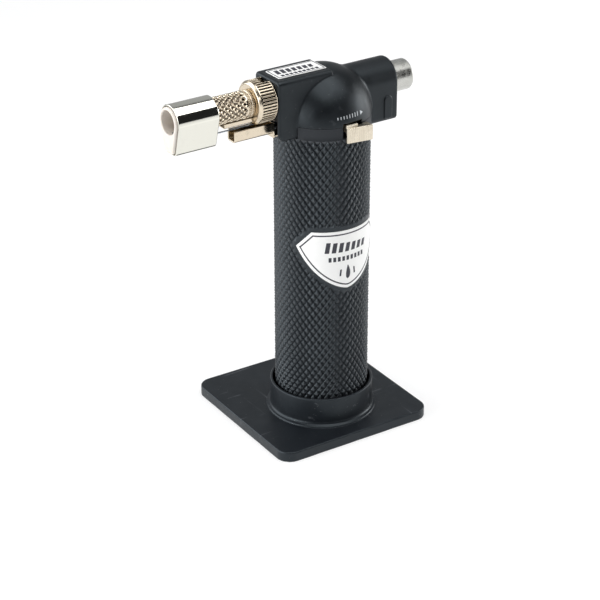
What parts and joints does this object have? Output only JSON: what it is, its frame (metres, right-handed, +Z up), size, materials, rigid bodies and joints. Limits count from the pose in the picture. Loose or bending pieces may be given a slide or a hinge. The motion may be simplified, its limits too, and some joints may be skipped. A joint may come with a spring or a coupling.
{
  "type": "butane torch",
  "caption": "Hand-held refillable gas torch with a knurled grip, side nozzle, press igniter, swinging flow lever and a square plastic stand.",
  "frame": {"origin": "on the grip tube's axis, at the underside of the stand", "axes": "+Z up along the grip, -X towards the flame, +X towards the ignition button, -Y towards the lock slider and the grip badge"},
  "size_m": [0.1076, 0.0714, 0.1511],
  "materials": {
    "stand_plastic": "satin moulded, lightly scratched",
    "grip_rubber": "matte, diamond knurled",
    "head_plastic": "fine matte moulded",
    "inner_plastic": "moulded",
    "badge_print": "printed foil",
    "tank_metal": "drawn, plain",
    "valve_brass": "turned",
    "nickel": "warm nickel plate",
    "shroud_chrome": "polished",
    "button_steel": "turned and brushed",
    "spring_steel": "drawn wire",
    "ceramic": "fired, unglazed",
    "seal_rubber": "matte",
    "lead_sleeve": "insulated lead"
  },
  "bodies": {
    "stand": {"stand": "stand_plastic"},
    "torch": {"grip_sleeve": "grip_rubber", "grip_badge": "badge_print", "fuel_tank": "tank_metal", "tank_cap": "tank_metal", "tank_o_ring": "seal_rubber", "filler_valve_body": "valve_brass", "filler_valve_spring": "spring_steel", "filler_o_ring": "seal_rubber", "outlet_valve_body": "valve_brass", "outlet_valve_spring": "spring_steel", "outlet_o_ring": "seal_rubber", "gas_filter": "valve_brass", "rocker_pin": "spring_steel", "gas_hose": "seal_rubber", "gas_jet": "valve_brass", "jet_holder": "nickel", "burner_nut": "spring_steel", "air_ring_o_ring": "seal_rubber", "burner_tube": "nickel", "heat_guard": "nickel", "guard_bracket": "nickel", "nozzle_shroud": "shroud_chrome", "ceramic_nozzle": "ceramic", "flame_grid": "nickel", "electrode_wire": "spring_steel", "electrode_insulator": "ceramic", "piezo_lead": "lead_sleeve", "piezo_body": "inner_plastic", "piezo_spring": "spring_steel", "head_cover": "head_plastic", "head_base": "head_plastic", "base_screws": "spring_steel", "slider_detent": "valve_brass", "label_plate": "badge_print"},
    "ignition": {"ignition_button": "button_steel", "piezo_plunger": "inner_plastic"},
    "rocker": {"rocker_lever": "inner_plastic"},
    "outlet_valve": {"outlet_valve_stem": "valve_brass", "outlet_seat_pad": "seal_rubber"},
    "filler_valve": {"filler_valve_stem": "valve_brass"},
    "flow_control": {"gas_lever": "nickel", "flow_adjuster": "nickel"},
    "air_control": {"air_ring": "nickel"},
    "lock": {"lock_slider": "nickel"}
  },
  "joints": [
    {"name": "torch_lift", "type": "slide", "parent": "stand", "child": "torch", "axis": [0, 0, 1], "range_m": [0, 0.03]},
    {"name": "ignition_press", "type": "slide", "parent": "torch", "child": "ignition", "axis": [-1, 0, 0], "range_m": [0, 0.006], "stiffness_N_per_m": 150, "deforming": ["piezo_spring"]},
    {"name": "rocker_turn", "type": "hinge", "parent": "torch", "child": "rocker", "pos_m": [0.009, 0, 0.1302], "axis": [0, 1, 0], "range_deg": [0, 5.05]},
    {"name": "outlet_valve_lift", "type": "slide", "parent": "torch", "child": "outlet_valve", "axis": [0, 0, 1], "range_m": [0, 0.0008], "deforming": ["outlet_valve_spring"]},
    {"name": "filler_valve_push", "type": "slide", "parent": "torch", "child": "filler_valve", "axis": [0, 0, 1], "range_m": [0, 0.0015], "deforming": ["filler_valve_spring"]},
    {"name": "flow_lever_swing", "type": "hinge", "parent": "torch", "child": "flow_control", "pos_m": [0, 0, 0.128], "axis": [0, 0, 1], "range_deg": [-9, 9]},
    {"name": "air_ring_turn", "type": "hinge", "parent": "torch", "child": "air_control", "pos_m": [-0.029, 0, 0.14225], "axis": [1, 0, 0], "range_deg": [0, 60]},
    {"name": "lock_slide", "type": "hinge", "parent": "torch", "child": "lock", "pos_m": [0, 0, 0.1286], "axis": [0, 0, 1], "range_deg": [0, 7]}
  ],
  "couplings": [
    {"joint": "rocker_turn", "follows": "ignition_press", "rad_per_m": 14.544},
    {"joint": "outlet_valve_lift", "follows": "ignition_press", "ratio": 0.1307}
  ]
}
